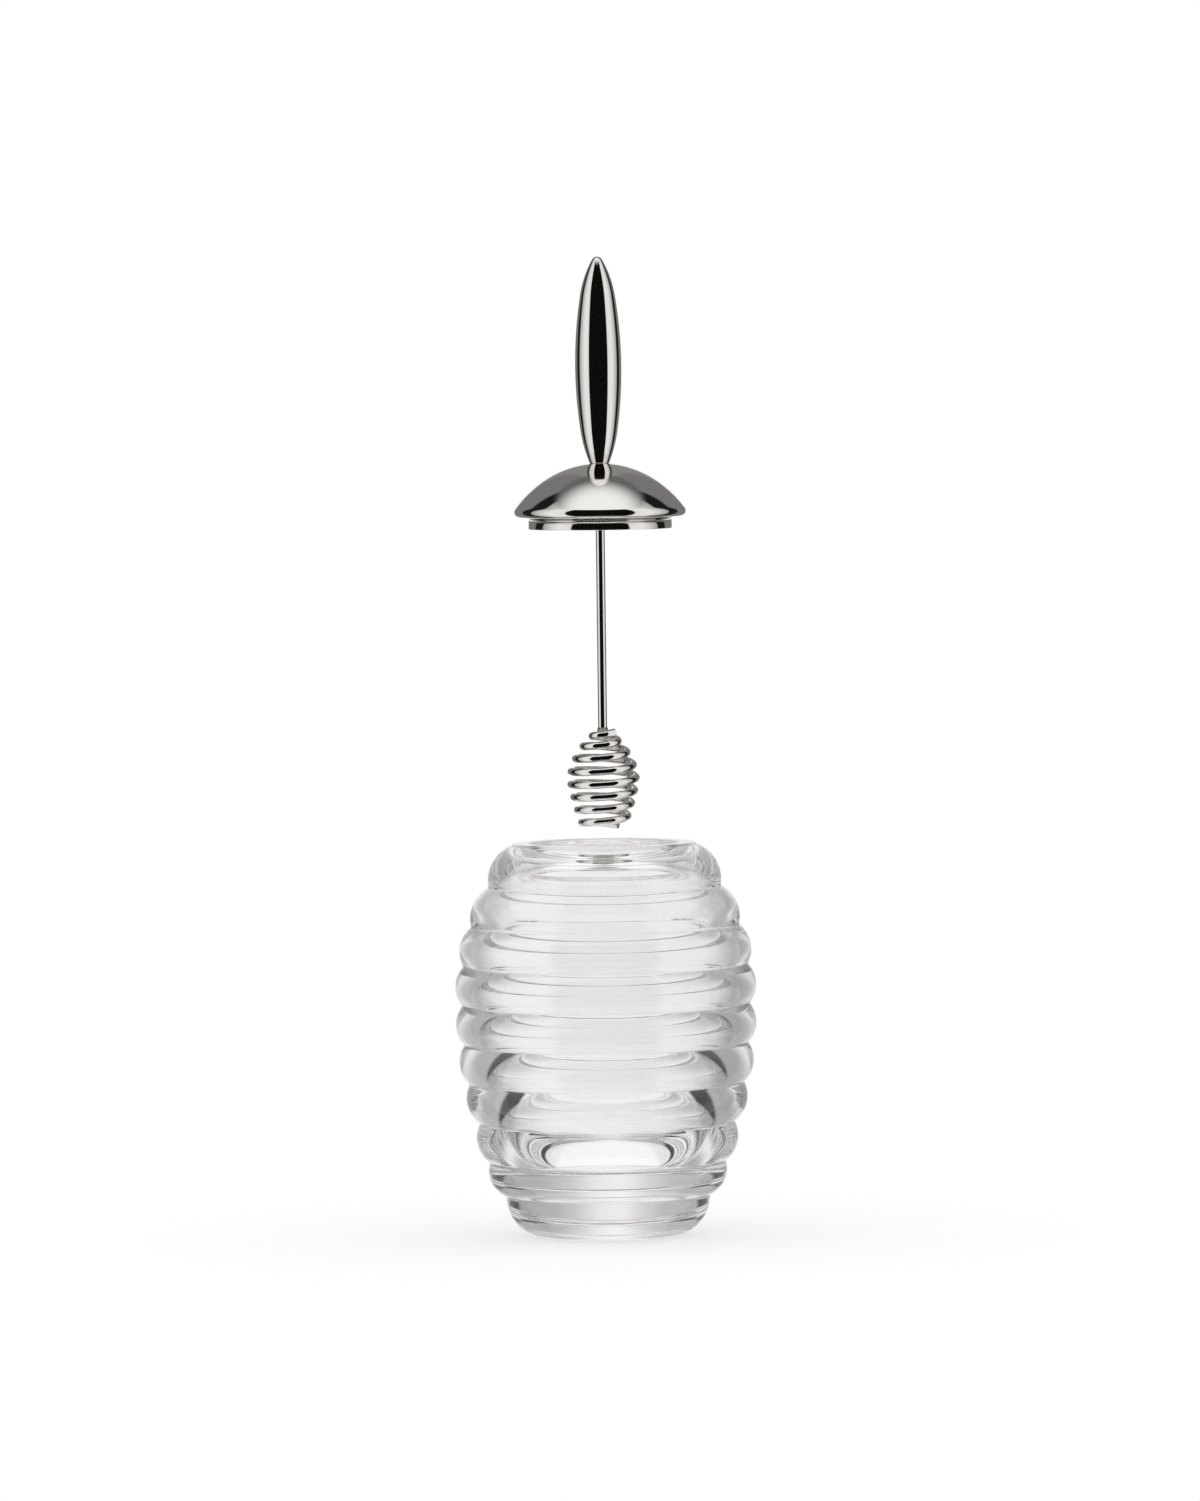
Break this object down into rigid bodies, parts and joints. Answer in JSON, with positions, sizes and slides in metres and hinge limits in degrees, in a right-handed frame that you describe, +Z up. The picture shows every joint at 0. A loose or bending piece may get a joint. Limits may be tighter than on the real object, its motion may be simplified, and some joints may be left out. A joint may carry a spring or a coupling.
{
  "type": "honey pot",
  "caption": "Ribbed clear glass honey pot with a lift-off domed steel lid that carries a spindle handle above and a wire-coil honey dipper below.",
  "frame": {"origin": "centre of the jar's flat base, on the table", "axes": "+Z up along the jar's axis, -Y towards the viewer of the picture"},
  "size_m": [0.0934, 0.0934, 0.3037],
  "materials": {
    "clear_glass": "clear pressed glass, fire-polished",
    "polished_steel": "mirror-polished stainless steel",
    "plain_steel": "plain stainless steel",
    "braze_metal": "dull silver braze"
  },
  "bodies": {
    "jar": {"glass_jar": "clear_glass"},
    "lid": {"lid_dome": "polished_steel", "locating_ring": "polished_steel", "handle": "polished_steel", "dipper_rod": "polished_steel", "dipper_coil": "polished_steel", "lid_plate": "plain_steel", "spacer_sleeve": "plain_steel", "clamp_washer": "plain_steel", "clamp_nut": "plain_steel", "braze_bead": "braze_metal"}
  },
  "joints": [
    {"name": "lid_lift", "type": "slide", "parent": "jar", "child": "lid", "axis": [0, 0, 1], "range_m": [-0.1009, 0]}
  ]
}
